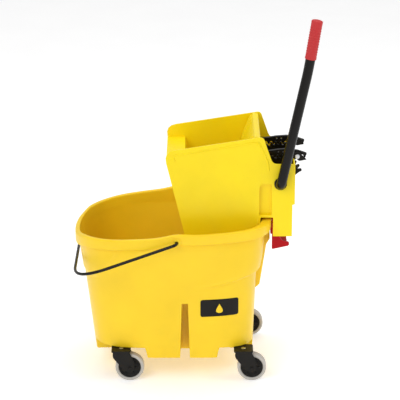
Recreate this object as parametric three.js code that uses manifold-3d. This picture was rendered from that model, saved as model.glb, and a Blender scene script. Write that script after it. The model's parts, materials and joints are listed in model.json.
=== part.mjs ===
// A wheeled mop bucket with a side-press wringer.
// Millimetres. +Z is up, +X points to the rear (wringer and handle), and -Y is the handle's side.
// The origin is on the floor, under the middle of the whole assembly.
import * as THREE from "three";
import { mergeVertices } from "three/addons/utils/BufferGeometryUtils.js";
import Module from "manifold-3d";

const wasm = await Module();
wasm.setup();

// ---- driving dimensions ----
const GAP = 0.3; // between pieces that touch

// Bucket plan: two half superellipses that meet on the tub's middle line.
const TUB_MIDDLE_X = -69;
const RIM_FRONT = 244;
const RIM_REAR = 265;
const RIM_HALF_WIDTH = 200;
const RIM_BAND_HEIGHT = 28;
const RIM_FRONT_Z = 380;
const RIM_REAR_Z = 430;
const TUB_BOTTOM_Z = 58;
const TUB_WALL = 4;
const OUTLINE_POINTS = 56;
const LEDGE_Z = 258;
const LEDGE_RISE = 33;
const LEDGE_OUT = 0.04;

// Baffle slots pressed into both sides.
const SLOT_X = -28;
const SLOT_TOP_Z = 217;
const SLOT_BOTTOM_WIDTH = 26;
const SLOT_TOP_WIDTH = 16;
const SLOT_INNER_Y = 85;
const SLOT_TOP_INNER_Y = 135;

// Casters.
const WHEEL_RADIUS = 37.5;
const WHEEL_WIDTH = 24;
const WHEEL_SIDES = 36;
const AXLE_Z = WHEEL_RADIUS * Math.cos(Math.PI / WHEEL_SIDES);
const AXLE_RADIUS = 4;
const CASTER_TRAIL = 22;
const CASTER_Y = 150;
const FRONT_STEM_X = -194;
const REAR_STEM_X = 124;
const WELL_REACH = 66;
const WELL_TOP_Z = 88;
const CASTER_PLATE_THICKNESS = 4;
const FORK_WALL = 3;

// Bail.
const BAIL_X = -48;
const BAIL_Z = 397;
const BAIL_REACH = 280;
const BAIL_DROOP = THREE.MathUtils.degToRad(20);
const BAIL_HALF_SPAN = 215;
const BAIL_CORNER = 95;
const BAIL_WIRE_RADIUS = 4;

// Wringer housing.
const WRINGER_HALF_WIDTH = 118;
const WRINGER_WALL = 4;
const WRINGER_BOTTOM_Z = 330;
const SHOULDER_Z = 579;
const BOX_FRONT_X = 198;
const BOX_REAR_X = 253;
const BOX_BOTTOM_Z = 385;
const RIM_CLEAR_Z = 436;
const BRIDGE_FRONT_X = 166;

// Drive: a toothed sector on the shaft under each rack.
const SHAFT_X = 216;
const SHAFT_Z = 527;
const SHAFT_RADIUS = 10;
const TOOTH_MODULE = 4;
const TEETH_IN_CIRCLE = 28;
const PITCH_RADIUS = (TOOTH_MODULE * TEETH_IN_CIRCLE) / 2;
const TOOTH_PITCH = Math.PI * TOOTH_MODULE;
const ADDENDUM = 0.8 * TOOTH_MODULE;
const DEDENDUM = 1.15 * TOOTH_MODULE;
const BACKLASH = 0.8;
const PRESSURE_ANGLE = THREE.MathUtils.degToRad(20);
const SECTOR_TEETH = 9;
const RACK_Y = 58;
const RACK_THICKNESS = 9;

// Handle.
const HANDLE_Y = -136.5;
const HANDLE_RADIUS = 12.5;
const GRIP_RADIUS = 15;
const HUB_OUTER_Y = -121.5;
const HANDLE_BEND = 24;
const GRIP_LOW = new THREE.Vector3(280, HANDLE_Y, 829);
const GRIP_TOP = new THREE.Vector3(300.3, HANDLE_Y, 958.5);
const GRIP_START = 0.23; // share of the way from GRIP_LOW to GRIP_TOP where the sleeve starts

// Latch pin, held in blind bores in the housing's side walls.
const LATCH_PIN_X = 228;
const LATCH_PIN_Z = 398;
const LATCH_PIN_RADIUS = 3;
const LATCH_PIN_REACH = 116;

const YELLOW = { color: 0xf4c81e, roughness: 0.42, metalness: 0 };
const WRINGER_YELLOW = { color: 0xf7dc16, roughness: 0.42, metalness: 0 };
const RED = { color: 0xbd2d37, roughness: 0.45, metalness: 0 };
const GRIP_RED = { color: 0xcf4140, roughness: 0.6, metalness: 0 };
const BLACK_STEEL = { color: 0x151210, roughness: 0.3, metalness: 0.5 };
const BLACK_PLASTIC = { color: 0x1c1916, roughness: 0.5, metalness: 0 };
const TREAD_GREY = { color: 0xa8a49f, roughness: 0.7, metalness: 0 };
const BRIGHT_STEEL = { color: 0xb9bcc0, roughness: 0.3, metalness: 1 };

const group = new THREE.Group();

// ---- helpers ----
function addPart(name, geometry, look) {
  const mesh = new THREE.Mesh(geometry, new THREE.MeshStandardMaterial(look));
  mesh.name = name;
  group.add(mesh);
  return mesh;
}

// A geometry as a solid: vertices that share a place are merged first.
function solid(geometry) {
  const bare = geometry.index ? geometry.toNonIndexed() : geometry.clone();
  bare.deleteAttribute("normal");
  bare.deleteAttribute("uv");
  const merged = mergeVertices(bare, 1e-3);
  return new wasm.Manifold(
    new wasm.Mesh({
      numProp: 3,
      vertProperties: merged.attributes.position.array,
      triVerts: new Uint32Array(merged.index.array),
    }),
  );
}

// A solid back as a geometry with flat faces.
function geometryOf(manifold) {
  const mesh = manifold.getMesh();
  const geometry = new THREE.BufferGeometry();
  geometry.setAttribute("position", new THREE.BufferAttribute(mesh.vertProperties, 3));
  geometry.setIndex(new THREE.BufferAttribute(mesh.triVerts, 1));
  const flat = geometry.toNonIndexed();
  flat.computeVertexNormals();
  return flat;
}

// An outline of [x, y, corner radius] points, with each rounded corner as one curve.
function roundedShape(points) {
  const shape = new THREE.Shape();
  points.forEach(([x, y, radius = 0], i) => {
    const corner = new THREE.Vector2(x, y);
    const before = new THREE.Vector2(...points.at(i - 1).slice(0, 2)).sub(corner);
    const after = new THREE.Vector2(...points[(i + 1) % points.length].slice(0, 2)).sub(corner);
    const start = corner.clone().add(before.setLength(radius));
    const end = corner.clone().add(after.setLength(radius));
    if (i === 0) shape.moveTo(start.x, start.y);
    else shape.lineTo(start.x, start.y);
    if (radius > 0) shape.quadraticCurveTo(x, y, end.x, end.y);
  });
  shape.closePath();
  return shape;
}

// An outline in the XZ plane as a plate from y0 to y1.
function plateXZ(points, y0, y1, curveSegments = 4) {
  const options = { depth: y1 - y0, bevelEnabled: false, curveSegments };
  return new THREE.ExtrudeGeometry(roundedShape(points), options)
    .rotateX(Math.PI / 2)
    .translate(0, y1, 0);
}

// An outline in the XY plane as a plate from z0 to z1.
function plateXY(points, z0, z1, curveSegments = 4) {
  const options = { depth: z1 - z0, bevelEnabled: false, curveSegments };
  return new THREE.ExtrudeGeometry(roundedShape(points), options).translate(0, 0, z0);
}

function rectangle(x0, x1, y0, y1, radius = 0) {
  return [[x0, y0, radius], [x1, y0, radius], [x1, y1, radius], [x0, y1, radius]];
}

function block(x0, x1, y0, y1, z0, z1) {
  return new THREE.BoxGeometry(x1 - x0, y1 - y0, z1 - z0)
    .translate((x0 + x1) / 2, (y0 + y1) / 2, (z0 + z1) / 2);
}

function rodY(radius, y0, y1, x, z, sides = 20) {
  return new THREE.CylinderGeometry(radius, radius, y1 - y0, sides)
    .translate(x, (y0 + y1) / 2, z);
}

function rodZ(radius, z0, z1, x, y, sides = 20) {
  return new THREE.CylinderGeometry(radius, radius, z1 - z0, sides)
    .rotateX(Math.PI / 2)
    .translate(x, y, (z0 + z1) / 2);
}

// A sleeve around an axis along Y.
function ringY(inner, outer, y0, y1, x, z, sides = 20) {
  const profile = [[inner, y0], [outer, y0], [outer, y1], [inner, y1], [inner, y0]];
  return new THREE.LatheGeometry(profile.map(([r, y]) => new THREE.Vector2(r, y)), sides)
    .translate(x, 0, z);
}

// A round bar along a curve.
function barAlong(curve, radius, sides, steps) {
  const circle = new THREE.Shape(
    Array.from({ length: sides }, (_, i) => {
      const angle = (2 * Math.PI * i) / sides;
      return new THREE.Vector2(radius * Math.cos(angle), radius * Math.sin(angle));
    }),
  );
  return new THREE.ExtrudeGeometry(circle, { steps, bevelEnabled: false, extrudePath: curve });
}

// A closed skin over rings of equal length, listed from the bottom up and counter-clockwise from above.
function loft(rings) {
  const count = rings[0].length;
  const positions = rings.flat().flatMap((p) => [p.x, p.y, p.z]);
  const index = [];
  for (let level = 0; level + 1 < rings.length; level += 1) {
    for (let i = 0; i < count; i += 1) {
      const a = level * count + i;
      const b = level * count + ((i + 1) % count);
      index.push(a, b, b + count, a, b + count, a + count);
    }
  }
  const middleOf = (ring) =>
    ring.reduce((sum, p) => sum.add(p), new THREE.Vector3()).divideScalar(count);
  const bottom = positions.length / 3;
  const top = bottom + 1;
  const last = (rings.length - 1) * count;
  positions.push(...middleOf(rings[0]).toArray(), ...middleOf(rings.at(-1)).toArray());
  for (let i = 0; i < count; i += 1) {
    const next = (i + 1) % count;
    index.push(bottom, next, i);
    index.push(top, last + i, last + next);
  }
  const geometry = new THREE.BufferGeometry();
  geometry.setAttribute("position", new THREE.Float32BufferAttribute(positions, 3));
  geometry.setIndex(index);
  return geometry;
}

// ---- bucket ----
// The rim climbs from the spout to the wringer, with a small hump at the bail.
function rimZ(x) {
  const along = THREE.MathUtils.clamp((x - TUB_MIDDLE_X + RIM_FRONT) / (RIM_FRONT + RIM_REAR), 0, 1);
  const hump = 6 * Math.exp(-(((x - BAIL_X) / 35) ** 2));
  return RIM_FRONT_Z + (RIM_REAR_Z - RIM_FRONT_Z) * along ** 0.7 + hump;
}

// One ring of the tub. frontPower is 2.5 on the round rim and larger on the squarer foot.
function tubRing(front, rear, half, frontPower, heightAt, ledge = 0) {
  return Array.from({ length: OUTLINE_POINTS }, (_, i) => {
    const angle = (2 * Math.PI * (i + 0.5)) / OUTLINE_POINTS;
    const c = Math.cos(angle);
    const s = Math.sin(angle);
    const power = c > 0 ? 5 : frontPower;
    const reach = c > 0 ? rear : front;
    const x = TUB_MIDDLE_X + Math.sign(c) * reach * Math.abs(c) ** (2 / power);
    const y = half * Math.sign(s) * Math.abs(s) ** (2 / power);
    const out = 1 + ledge * THREE.MathUtils.smoothstep(x, -20, 90);
    return new THREE.Vector3(TUB_MIDDLE_X + (x - TUB_MIDDLE_X) * out, y * out, heightAt(x));
  });
}

const ledgeZ = (x) => LEDGE_Z + LEDGE_RISE * THREE.MathUtils.smoothstep(x, 0, 160);

// The tub's outside, or with inset its inside from the floor up past the rim.
function tubSkin(inset) {
  const body = (front, rear, half, power, heightAt, ledge) =>
    tubRing(front - inset, rear - inset, half - inset, power, heightAt, ledge);
  const rings = [
    body(195, 219, 152, 4, () => TUB_BOTTOM_Z + inset),
    body(197, 221, 156, 3.8, () => TUB_BOTTOM_Z + 40),
    body(221, 227, 175, 3, ledgeZ),
    body(221.5, 227, 175.5, 3, (x) => ledgeZ(x) + 7, LEDGE_OUT),
    body(236, 249, 193, 2.5, (x) => rimZ(x) - RIM_BAND_HEIGHT),
  ];
  if (inset > 0) {
    rings.push(body(237, 250, 194, 2.5, (x) => rimZ(x) + 1));
  } else {
    rings.push(tubRing(RIM_FRONT - 1, RIM_REAR - 1, RIM_HALF_WIDTH - 1, 2.5, (x) => rimZ(x) - 26));
    rings.push(tubRing(RIM_FRONT, RIM_REAR, RIM_HALF_WIDTH, 2.5, (x) => rimZ(x) - 3));
    rings.push(tubRing(RIM_FRONT - 3, RIM_REAR - 3, RIM_HALF_WIDTH - 3, 2.5, rimZ));
  }
  return solid(loft(rings));
}

// A wedge that is widest and deepest at the foot of the tub.
function slotWedge(side, grow) {
  const outerY = RIM_HALF_WIDTH;
  const low = TUB_BOTTOM_Z - 10;
  const ring = (width, innerY, z) =>
    [
      [SLOT_X - width / 2 - grow, innerY - grow],
      [SLOT_X + width / 2 + grow, innerY - grow],
      [SLOT_X + width / 2 + grow, outerY],
      [SLOT_X - width / 2 - grow, outerY],
    ].map(([x, y]) => new THREE.Vector3(x, y * side, z));
  const rings = [
    ring(SLOT_BOTTOM_WIDTH, SLOT_INNER_Y, low),
    ring(SLOT_TOP_WIDTH, SLOT_TOP_INNER_Y, SLOT_TOP_Z + grow),
  ];
  return solid(loft(side > 0 ? rings : rings.map((points) => points.toReversed())));
}

// The well round a caster runs out through the tub's corner.
function casterWell(x, y, grow) {
  const out = x < TUB_MIDDLE_X ? -1 : 1;
  const xs = [x - out * (WELL_REACH + grow), x + out * 150].sort((a, b) => a - b);
  const ys = [y - Math.sign(y) * (WELL_REACH + grow), Math.sign(y) * 250].sort((a, b) => a - b);
  return solid(plateXY(rectangle(...xs, ...ys, 40), TUB_BOTTOM_Z - 10, WELL_TOP_Z + grow, 8));
}

const casterPlaces = [
  ["front_left", FRONT_STEM_X, -CASTER_Y],
  ["front_right", FRONT_STEM_X, CASTER_Y],
  ["rear_left", REAR_STEM_X, -CASTER_Y],
  ["rear_right", REAR_STEM_X, CASTER_Y],
];

function buildTub() {
  let outside = tubSkin(0);
  let inside = tubSkin(TUB_WALL);
  for (const [, x, y] of casterPlaces) {
    outside = outside.subtract(casterWell(x, y, 0));
    inside = inside.subtract(casterWell(x, y, TUB_WALL));
  }
  for (const side of [-1, 1]) {
    outside = outside.subtract(slotWedge(side, 0));
    inside = inside.subtract(slotWedge(side, TUB_WALL));
  }
  // The rib on the rear wall, thickest under the rim.
  const rib = plateXZ(
    [[150, 250], [157, 206, 4], [170, 206, 6], [186, 330, 10], [195, 345], [193, 408], [172, 408]],
    -32,
    32,
  );
  let tub = outside.add(solid(rib).subtract(inside)).subtract(inside);
  for (const side of [-1, 1]) {
    const y0 = side > 0 ? 170 : -215;
    tub = tub.subtract(solid(rodY(8 + GAP, y0, y0 + 45, BAIL_X, BAIL_Z)));
  }
  addPart("bucket_tub", geometryOf(tub), YELLOW);
}

// The bail lies in its own plane: u runs forward along the droop and y across.
function buildBail() {
  const at = (u, y) =>
    new THREE.Vector3(BAIL_X - u * Math.cos(BAIL_DROOP), y, BAIL_Z - u * Math.sin(BAIL_DROOP));
  const path = new THREE.CurvePath();
  const straight = (a, b) => path.add(new THREE.LineCurve3(a, b));
  const bend = (a, b, c) => path.add(new THREE.QuadraticBezierCurve3(a, b, c));
  const eye = 12;
  const turnStart = BAIL_REACH - BAIL_CORNER;
  for (const side of [-1, 1]) {
    const leg = [
      at(0, side * 189), at(0, side * (BAIL_HALF_SPAN - eye)), at(0, side * BAIL_HALF_SPAN),
      at(eye, side * BAIL_HALF_SPAN), at(turnStart, side * BAIL_HALF_SPAN),
      at(BAIL_REACH, side * BAIL_HALF_SPAN), at(BAIL_REACH, side * (BAIL_HALF_SPAN - BAIL_CORNER)),
    ];
    if (side > 0) leg.reverse();
    const [a, b, c, d, e, f, g] = leg;
    if (side < 0) {
      straight(a, b);
      bend(b, c, d);
      straight(d, e);
      bend(e, f, g);
    } else {
      straight(at(BAIL_REACH, BAIL_CORNER - BAIL_HALF_SPAN), a);
      bend(a, b, c);
      straight(c, d);
      bend(d, e, f);
      straight(f, g);
    }
  }
  addPart("bail_wire", barAlong(path, BAIL_WIRE_RADIUS, 8, 64), BLACK_STEEL);
  for (const [name, side] of [["bail_bush_left", -1], ["bail_bush_right", 1]]) {
    const bore = BAIL_WIRE_RADIUS + GAP;
    const profile = [[bore, 188], [8, 188], [8, 200.5], [11, 200.5], [11, 202.5], [bore, 202.5], [bore, 188]];
    const points = profile.map(([r, y]) => new THREE.Vector2(r, side * y));
    const bush = new THREE.LatheGeometry(side > 0 ? points : points.toReversed(), 16)
      .translate(BAIL_X, 0, BAIL_Z);
    addPart(name, bush, BLACK_PLASTIC);
  }
}

// ---- casters ----
function buildCaster(place, x, y) {
  const axleX = x + CASTER_TRAIL;
  const plateLow = WELL_TOP_Z - GAP - CASTER_PLATE_THICKNESS;
  const cheekInner = WHEEL_WIDTH / 2 + 2;
  const cheekOuter = cheekInner + FORK_WALL;
  const crownLow = AXLE_Z + WHEEL_RADIUS + 1.5;
  const crownTop = plateLow - 1;
  const stemRadius = 6;

  const plate = solid(plateXY(rectangle(x - 25, x + 25, y - 25, y + 25, 6), plateLow, WELL_TOP_Z - GAP))
    .subtract(solid(rodZ(stemRadius + GAP, plateLow - 5, WELL_TOP_Z + 5, x, y, 16)));
  addPart(`caster_plate_${place}`, geometryOf(plate), BRIGHT_STEEL);

  const cheek = [
    [x - 21, crownTop, 2], [x - 23, crownLow - 8, 8], [axleX - 11, AXLE_Z - 11, 10],
    [axleX + 11, AXLE_Z - 11, 10], [axleX + 13, AXLE_Z + 14, 10], [x + 21, crownTop, 2],
  ];
  let fork = solid(plateXZ(cheek, y - cheekOuter, y - cheekInner))
    .add(solid(plateXZ(cheek, y + cheekInner, y + cheekOuter)))
    .add(solid(block(x - 20, x + 20, y - cheekInner - 1, y + cheekInner + 1, crownLow, crownTop)));
  fork = fork
    .subtract(solid(rodY(AXLE_RADIUS + GAP, y - 30, y + 30, axleX, AXLE_Z, 16)))
    .subtract(solid(rodZ(stemRadius + GAP, crownLow - 5, crownTop + 5, x, y, 16)));
  addPart(`caster_fork_${place}`, geometryOf(fork), BLACK_PLASTIC);
  addPart(`caster_stem_${place}`, rodZ(stemRadius, crownLow, WELL_TOP_Z - GAP, x, y, 16), BRIGHT_STEEL);
  addPart(`wheel_axle_${place}`, rodY(AXLE_RADIUS, y - 19, y + 19, axleX, AXLE_Z, 16), BRIGHT_STEEL);

  const half = WHEEL_WIDTH / 2;
  const core = 29;
  const wheelPart = (name, profile, sides, look) => {
    const points = profile.map(([r, h]) => new THREE.Vector2(r, h));
    points.push(points[0].clone());
    const geometry = new THREE.LatheGeometry(points, sides)
      .rotateY(Math.PI / sides)
      .translate(axleX, y, AXLE_Z);
    addPart(`${name}_${place}`, geometry, look);
  };
  wheelPart(
    "wheel_tyre",
    [[core, -half + 2], [WHEEL_RADIUS - 3, -half], [WHEEL_RADIUS, -half + 3],
      [WHEEL_RADIUS, half - 3], [WHEEL_RADIUS - 3, half], [core, half - 2]],
    WHEEL_SIDES,
    TREAD_GREY,
  );
  wheelPart(
    "wheel_hub",
    [[AXLE_RADIUS + GAP, -half - 1], [10, -half - 1], [12, -half + 4], [core - GAP, -half + 2],
      [core - GAP, half - 2], [12, half - 4], [10, half + 1], [AXLE_RADIUS + GAP, half + 1]],
    24,
    BLACK_PLASTIC,
  );
}

// ---- wringer ----
function housingOutline() {
  return [
    [-82, 611, 30], [171, 651, 10], [178, 630, 12], [196, SHOULDER_Z, 12],
    [BOX_REAR_X, SHOULDER_Z, 3], [BOX_REAR_X, 472], [BOX_REAR_X - 6, 470],
    [BOX_REAR_X - 6, BOX_BOTTOM_Z], [BOX_FRONT_X, BOX_BOTTOM_Z], [BOX_FRONT_X, RIM_CLEAR_Z, 3],
    [BRIDGE_FRONT_X, RIM_CLEAR_Z, 3], [BRIDGE_FRONT_X - 6, WRINGER_BOTTOM_Z], [-14, WRINGER_BOTTOM_Z],
  ];
}

function buildHousing() {
  const side = WRINGER_HALF_WIDTH;
  const inner = side - WRINGER_WALL;
  const lip = 8;
  const frontTopZ = 582;
  let housing = solid(plateXZ(housingOutline(), -side, side));
  // The chamber behind the front wall, open above.
  housing = housing.subtract(
    solid(
      plateXZ(
        [[4, 342], [154, 342], [158, 440], [BOX_REAR_X - 10, 440], [BOX_REAR_X - WRINGER_WALL, 480],
          [BOX_REAR_X - WRINGER_WALL, 720], [-28, 720], [-28, frontTopZ]],
        -inner,
        inner,
      ),
    ),
  );
  // Above the front wall there is nothing but the two side panels.
  housing = housing.subtract(solid(block(-120, 0, -inner, inner, frontTopZ, 720)));
  // Hollow of the front wall, open below.
  housing = housing.subtract(
    solid(
      plateXZ(
        [[-11, 300], [-1, 300], [-1, 342], [-32, frontTopZ - WRINGER_WALL], [-66, frontTopZ - WRINGER_WALL],
          [-70, 560]],
        -inner,
        inner,
      ),
    ),
  );
  // The drain under the strainer leaves a lip all round.
  housing = housing.subtract(solid(block(4 + lip, 154 - lip, -inner + lip, inner - lip, 300, 350)));
  // The rear box is open below for the latch.
  housing = housing.subtract(
    solid(block(BOX_FRONT_X - 5, BOX_REAR_X - 10, -inner, inner, 370, RIM_CLEAR_Z)),
  );
  // Recessed pockets on both sides, over the bucket's rim, each with a wall of its own behind it.
  for (const sign of [-1, 1]) {
    const across = (from, to) => [sign * from, sign * to].sort((a, b) => a - b);
    const backing = plateXZ(
      [[158, 438], [198, 438], [198, 530], [158, 530]],
      ...across(inner - 12, inner + 1),
    );
    const recess = plateXZ(
      [[162, 442], [194, 442], [194, 526, 4], [162, 526, 14]],
      ...across(inner - 8, side + 5),
    );
    housing = housing.add(solid(backing)).subtract(solid(recess));
  }
  for (const y of [-RACK_Y, RACK_Y]) {
    const halfSlot = RACK_THICKNESS / 2 + 3;
    housing = housing.subtract(solid(block(240, 270, y - halfSlot, y + halfSlot, 522, 600)));
  }
  housing = housing.subtract(solid(rodY(16 + GAP, -side - 10, side + 10, SHAFT_X, SHAFT_Z, 24)));
  const boreEnd = LATCH_PIN_REACH + GAP;
  const pinBore = rodY(LATCH_PIN_RADIUS + GAP, -boreEnd, boreEnd, LATCH_PIN_X, LATCH_PIN_Z, 12);
  housing = housing.subtract(solid(pinBore));
  addPart("wringer_housing", geometryOf(housing), WRINGER_YELLOW);
}

// Rows of drain holes; the plate lies on the housing's lip.
function buildStrainer() {
  const inner = WRINGER_HALF_WIDTH - WRINGER_WALL - GAP;
  let strainer = solid(block(4 + 1, 154 - GAP, -inner, inner, 342 + GAP, 345));
  for (let row = 0; row < 4; row += 1) {
    for (let column = 0; column < 6; column += 1) {
      const x = 28 + row * 34;
      const y = -82.5 + column * 33;
      strainer = strainer.subtract(solid(block(x - 9, x + 9, y - 8, y + 8, 330, 350)));
    }
  }
  addPart("strainer_floor", geometryOf(strainer), WRINGER_YELLOW);
}

// ---- drive ----
const involute = (angle) => Math.tan(angle) - angle;

// Half of a tooth's angular width at a radius of the sector.
function toothHalfAngle(radius) {
  const base = PITCH_RADIUS * Math.cos(PRESSURE_ANGLE);
  const lean = Math.acos(Math.min(1, base / Math.max(radius, base)));
  const atPitch = (TOOTH_PITCH / 2 - BACKLASH / 2) / 2 / PITCH_RADIUS;
  return atPitch + involute(PRESSURE_ANGLE) - involute(lean);
}

function sectorOutline() {
  const points = [];
  const polar = (radius, angle) =>
    points.push([SHAFT_X + radius * Math.cos(angle), SHAFT_Z + radius * Math.sin(angle)]);
  const step = (2 * Math.PI) / TEETH_IN_CIRCLE;
  const root = PITCH_RADIUS - DEDENDUM;
  const tip = PITCH_RADIUS + ADDENDUM;
  const radii = [root, PITCH_RADIUS - 1.5, PITCH_RADIUS + 1, tip];
  for (let tooth = SECTOR_TEETH - 1; tooth >= 0; tooth -= 1) {
    const middle = Math.PI / 2 + step * (2.5 - tooth);
    radii.forEach((radius) => polar(radius, middle - toothHalfAngle(radius)));
    radii.toReversed().forEach((radius) => polar(radius, middle + toothHalfAngle(radius)));
  }
  polar(22, THREE.MathUtils.degToRad(185));
  polar(22, THREE.MathUtils.degToRad(230));
  polar(22, THREE.MathUtils.degToRad(275));
  polar(22, THREE.MathUtils.degToRad(320));
  return points;
}

function rackOutline() {
  const pitchZ = SHAFT_Z + PITCH_RADIUS;
  const points = [];
  const halfAt = (z) =>
    (TOOTH_PITCH / 2 - BACKLASH / 2) / 2 + (z - pitchZ) * Math.tan(PRESSURE_ANGLE);
  const low = pitchZ - ADDENDUM;
  const high = pitchZ + DEDENDUM;
  for (let tooth = -2; tooth <= 5; tooth += 1) {
    const x = SHAFT_X + tooth * TOOTH_PITCH;
    points.push([x - halfAt(high), high], [x - halfAt(low), low]);
    points.push([x + halfAt(low), low], [x + halfAt(high), high]);
  }
  points.push([284, high], [284, 591], [264, 598, 4], [238, 603]);
  points.push([210, 601], [186, 597], [148, 597], [143, high]);
  return points;
}

function buildDrive() {
  for (const [side, y] of [["left", -RACK_Y], ["right", RACK_Y]]) {
    const y0 = y - RACK_THICKNESS / 2;
    const y1 = y + RACK_THICKNESS / 2;
    const sector = solid(plateXZ(sectorOutline(), y0, y1))
      .subtract(solid(rodY(SHAFT_RADIUS + GAP, y0 - 5, y1 + 5, SHAFT_X, SHAFT_Z)));
    addPart(`gear_sector_${side}`, geometryOf(sector), BLACK_PLASTIC);
    let rack = solid(plateXZ(rackOutline(), y0, y1));
    for (const x of [212, 224]) {
      rack = rack.subtract(solid(rodY(2, y0 - 5, y1 + 5, x, 595, 10)));
    }
    addPart(`rack_${side}`, geometryOf(rack), BLACK_PLASTIC);
    addPart(
      `shaft_bush_${side}`,
      ringY(SHAFT_RADIUS + GAP, 16, ...(y < 0 ? [-118, -110] : [110, 118]), SHAFT_X, SHAFT_Z),
      BLACK_PLASTIC,
    );
  }
  addPart("drive_shaft", rodY(SHAFT_RADIUS, HUB_OUTER_Y, 128, SHAFT_X, SHAFT_Z), BLACK_STEEL);
  const bore = SHAFT_RADIUS + GAP;
  addPart("handle_hub", ringY(bore, 16, HUB_OUTER_Y, -118.5, SHAFT_X, SHAFT_Z, 24), BLACK_STEEL);
  addPart("shaft_collar", ringY(bore, 17, 119, 127, SHAFT_X, SHAFT_Z), BLACK_PLASTIC);
}

// Brackets on the rear wall that keep each rack in line, each with one bolt.
function buildGuides() {
  for (const [side, sign] of [["left", -1], ["right", 1]]) {
    const faces = [sign * (RACK_Y + RACK_THICKNESS / 2 + 1.5), sign * (RACK_Y + RACK_THICKNESS / 2 + 6.5)];
    const y0 = Math.min(...faces);
    const y1 = Math.max(...faces);
    const bracket = solid(
      plateXZ(
        [[236, 540, 2], [248.5, 540, 2], [248.5, 580], [256, 580], [264, 572, 4], [284, 576, 1],
          [273, 586, 3], [264, 598, 8], [246, 594, 6], [236, 578, 4]],
        y0,
        y1,
      ),
    ).subtract(solid(rodY(3 + GAP, y0 - 5, y1 + 5, 260, 585, 12)));
    addPart(`guide_bracket_${side}`, geometryOf(bracket), BLACK_PLASTIC);
    const outside = sign > 0 ? y1 : y0;
    const head = [[3, sign * (Math.abs(outside) - 4.5)], [3, outside + sign * GAP], [6, outside + sign * GAP],
      [6, outside + sign * 4], [0, outside + sign * 4.5]];
    const profile = [[0, sign * (Math.abs(outside) - 4.5)], ...head].map(([r, y]) => new THREE.Vector2(r, y));
    const bolt = new THREE.LatheGeometry(sign > 0 ? profile : profile.toReversed(), 12);
    addPart(`guide_bolt_${side}`, bolt.translate(260, 0, 585), BRIGHT_STEEL);
  }
}

// The coil of the torsion spring wound round the shaft. It is one rigid piece.
function buildSpring() {
  const turns = 5;
  const coil = new THREE.CatmullRomCurve3(
    Array.from({ length: turns * 12 + 1 }, (_, i) => {
      const angle = (i * Math.PI) / 6;
      return new THREE.Vector3(
        SHAFT_X + 15 * Math.cos(angle),
        -14 + (i / 12) * 5.5,
        SHAFT_Z + 15 * Math.sin(angle),
      );
    }),
  );
  addPart("return_spring", barAlong(coil, 1.6, 5, turns * 11), BRIGHT_STEEL);
}

function buildPressPlate() {
  const half = WRINGER_HALF_WIDTH - WRINGER_WALL - 2.5;
  const face = [[112, 348, 3], [130, 348, 3], [134, 560], [147.5, 604], [165, 646, 4], [150, 650, 4],
    [128, 606], [117, 570]];
  let plate = solid(plateXZ(face, -half, half));
  // Upright flutes in the squeezing face.
  for (let flute = -5; flute <= 5; flute += 1) {
    const y = flute * 20;
    plate = plate.subtract(solid(plateXZ([[105, 360], [117, 360], [121, 560], [105, 560]], y - 4, y + 4)));
  }
  addPart("press_plate", geometryOf(plate), WRINGER_YELLOW);
}

// ---- handle ----
function buildHandle() {
  const legEnd = new THREE.Vector3(SHAFT_X, HUB_OUTER_Y - GAP, SHAFT_Z);
  const corner = new THREE.Vector3(SHAFT_X, HANDLE_Y, SHAFT_Z);
  const rise = GRIP_LOW.clone().sub(corner).setLength(HANDLE_BEND);
  const path = new THREE.CurvePath();
  path.add(new THREE.QuadraticBezierCurve3(legEnd, corner, corner.clone().add(rise)));
  const bendEnd = corner.clone().add(rise);
  const nearGrip = corner.clone().lerp(GRIP_LOW, 0.93);
  const inGrip = GRIP_LOW.clone().lerp(GRIP_TOP, GRIP_START);
  const tubeEnd = GRIP_LOW.clone().lerp(GRIP_TOP, 0.96);
  path.add(new THREE.LineCurve3(bendEnd, nearGrip));
  path.add(new THREE.QuadraticBezierCurve3(nearGrip, GRIP_LOW, inGrip));
  path.add(new THREE.LineCurve3(inGrip, tubeEnd));
  const tube = barAlong(path, HANDLE_RADIUS, 12, 32);
  addPart("handle_tube", tube, BLACK_STEEL);
  const sleevePath = (from, to) => {
    const line = new THREE.CurvePath();
    line.add(new THREE.LineCurve3(from, to));
    return line;
  };
  const sleeve = solid(barAlong(sleevePath(inGrip, GRIP_TOP), GRIP_RADIUS, 16, 4));
  const belowGrip = inGrip.clone().lerp(GRIP_LOW, 0.5);
  const boreTop = GRIP_LOW.clone().lerp(GRIP_TOP, 0.962);
  const grip = sleeve.subtract(solid(barAlong(sleevePath(belowGrip, boreTop), HANDLE_RADIUS + GAP, 24, 1)));
  addPart("handle_grip", geometryOf(grip), GRIP_RED);
}

function buildLatch() {
  const cheek = [[226, 405, 6], [206, 404, 4], [198, 396, 2], [198, 328, 4], [243, 338, 5],
    [243, 348, 4], [225, 351, 6], [214, 368, 6], [235, 390, 6]];
  let latch = solid(plateXZ(cheek, -60, -55)).add(solid(plateXZ(cheek, 55, 60)));
  latch = latch.add(solid(plateXZ([[204, 332], [238, 338, 3], [238, 345, 3], [204, 339]], -57, 57)));
  // Two jaws close on the bucket's rim, on either side of its rib.
  for (const y0 of [-57, 37]) {
    latch = latch.add(solid(plateXZ([[198, 384], [206, 380], [206, 398], [198, 396]], y0, y0 + 20)));
  }
  latch = latch.subtract(solid(rodY(LATCH_PIN_RADIUS + GAP, -70, 70, LATCH_PIN_X, LATCH_PIN_Z, 12)));
  addPart("release_latch", geometryOf(latch), RED);
  const pin = rodY(LATCH_PIN_RADIUS, -LATCH_PIN_REACH, LATCH_PIN_REACH, LATCH_PIN_X, LATCH_PIN_Z, 12);
  addPart("latch_pin", pin, BRIGHT_STEEL);
}

buildTub();
buildBail();
for (const [place, x, y] of casterPlaces) buildCaster(place, x, y);
buildHousing();
buildStrainer();
buildDrive();
buildGuides();
buildSpring();
buildPressPlate();
buildHandle();
buildLatch();

export default group;
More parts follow.
